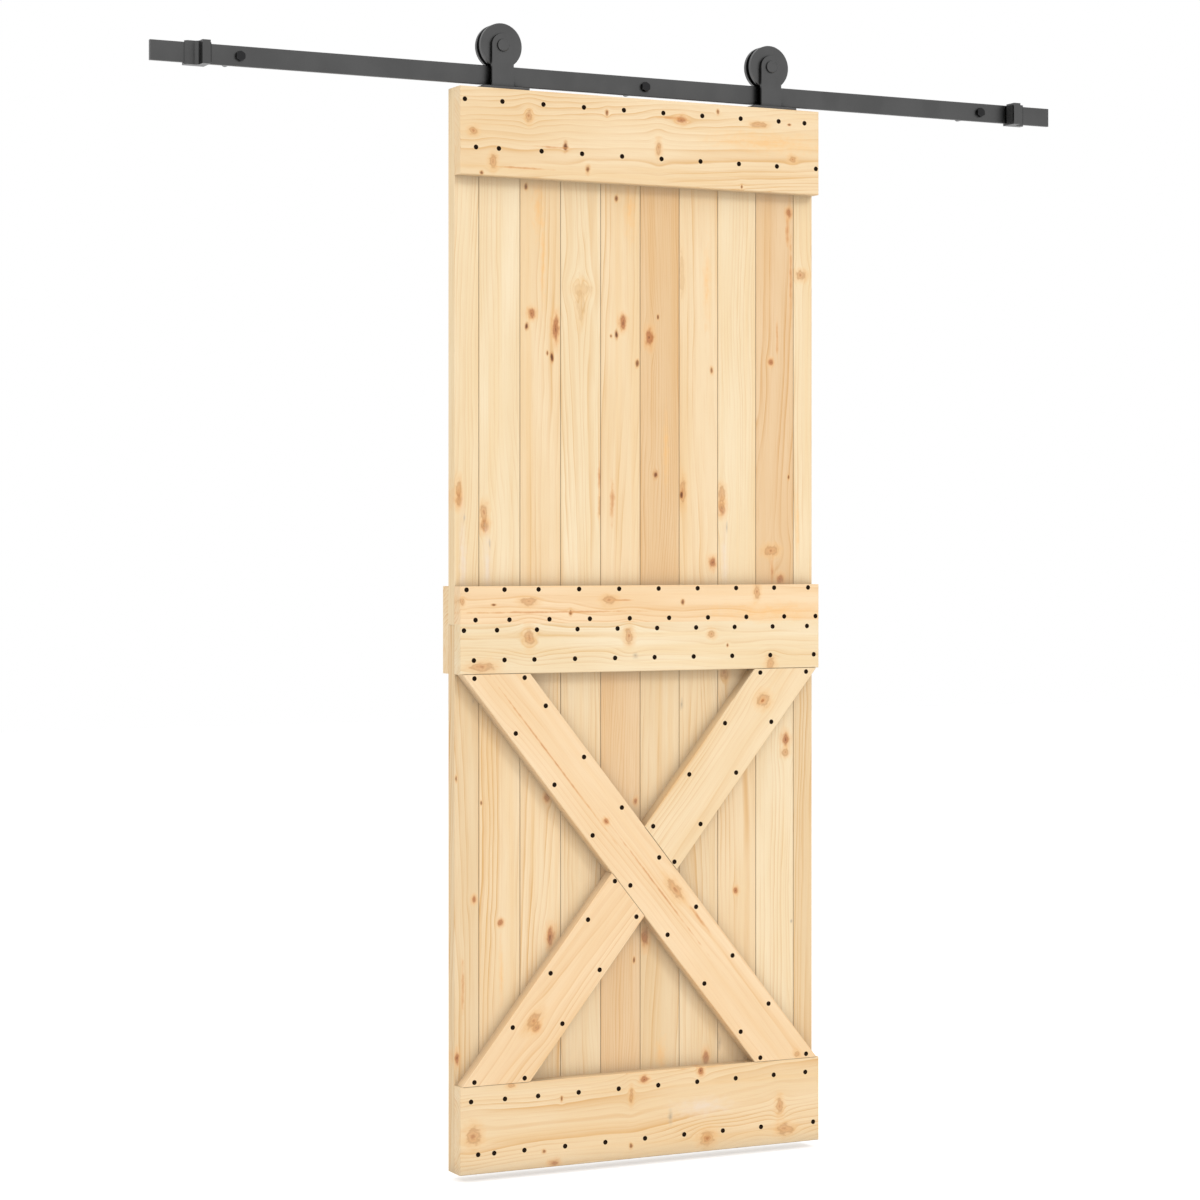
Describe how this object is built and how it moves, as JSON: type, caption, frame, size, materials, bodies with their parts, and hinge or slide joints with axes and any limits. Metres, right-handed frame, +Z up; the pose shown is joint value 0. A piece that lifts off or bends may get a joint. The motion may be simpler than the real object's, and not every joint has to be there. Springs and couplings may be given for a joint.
{
  "type": "sliding barn door",
  "caption": "Sliding barn door of knotty pine planks with ledges and an X brace, hung by grooved wheels on a flat steel rail with wall stand-offs and end stops.",
  "frame": {"origin": "on the middle stand-off's axis, at its wall end", "axes": "+X along the rail to the right seen from the front, +Y into the wall, +Z up"},
  "size_m": [2, 0.126, 2.2313],
  "materials": {
    "pine_plank": "planed, oiled",
    "pine_ledge": "planed, oiled",
    "pine_brace": "planed, oiled",
    "black_screw": "black phosphate",
    "grey_coat": "matt powder coat",
    "dark_bolt": "matt black",
    "rubber": "matt",
    "bearing_steel": "ground"
  },
  "bodies": {
    "rail": {"rail": "grey_coat", "standoff_left": "grey_coat", "standoff_middle": "grey_coat", "standoff_right": "grey_coat", "rail_bolts": "dark_bolt", "stop_left": "grey_coat", "stop_right": "grey_coat", "stop_pad_left": "rubber", "stop_pad_right": "rubber", "stop_set_screws": "black_screw"},
    "door": {"upper_plank_1": "pine_plank", "upper_plank_2": "pine_plank", "upper_plank_3": "pine_plank", "upper_plank_4": "pine_plank", "upper_plank_5": "pine_plank", "upper_plank_6": "pine_plank", "upper_plank_7": "pine_plank", "upper_plank_8": "pine_plank", "upper_plank_9": "pine_plank", "upper_plank_10": "pine_plank", "lower_plank_1": "pine_plank", "lower_plank_2": "pine_plank", "lower_plank_3": "pine_plank", "lower_plank_4": "pine_plank", "lower_plank_5": "pine_plank", "lower_plank_6": "pine_plank", "lower_plank_7": "pine_plank", "lower_plank_8": "pine_plank", "lower_plank_9": "pine_plank", "lower_plank_10": "pine_plank", "top_ledge": "pine_ledge", "middle_ledge": "pine_ledge", "bottom_ledge": "pine_ledge", "back_ledge": "pine_ledge", "long_brace": "pine_brace", "upper_brace": "pine_brace", "lower_brace": "pine_brace", "top_ledge_screws": "black_screw", "middle_ledge_screws": "black_screw", "bottom_ledge_screws": "black_screw", "brace_screws": "black_screw", "foot_screws": "black_screw", "hanger_left": "grey_coat", "hanger_right": "grey_coat", "axle_nuts": "dark_bolt", "axle_bolt_left": "grey_coat", "axle_bolt_right": "grey_coat", "axle_sleeve_left": "bearing_steel", "axle_sleeve_right": "bearing_steel", "axle_washers": "bearing_steel"},
    "wheel_left": {"wheel_left": "grey_coat", "front_bearing_left": "bearing_steel", "rear_bearing_left": "bearing_steel"},
    "wheel_right": {"wheel_right": "grey_coat", "front_bearing_right": "bearing_steel", "rear_bearing_right": "bearing_steel"}
  },
  "joints": [
    {"name": "door_slide", "type": "slide", "parent": "rail", "child": "door", "axis": [1, 0, 0], "range_m": [-0.574, 0.558]},
    {"name": "wheel_left_spin", "type": "hinge", "parent": "door", "child": "wheel_left", "pos_m": [-0.32, -0.084, 0.0573], "axis": [0, 1, 0], "range_deg": [-900, 900]},
    {"name": "wheel_right_spin", "type": "hinge", "parent": "door", "child": "wheel_right", "pos_m": [0.28, -0.084, 0.0573], "axis": [0, 1, 0], "range_deg": [-900, 900]}
  ],
  "couplings": [
    {"joint": "wheel_left_spin", "follows": "door_slide", "rad_per_m": 26.316},
    {"joint": "wheel_right_spin", "follows": "door_slide", "rad_per_m": 26.316}
  ]
}
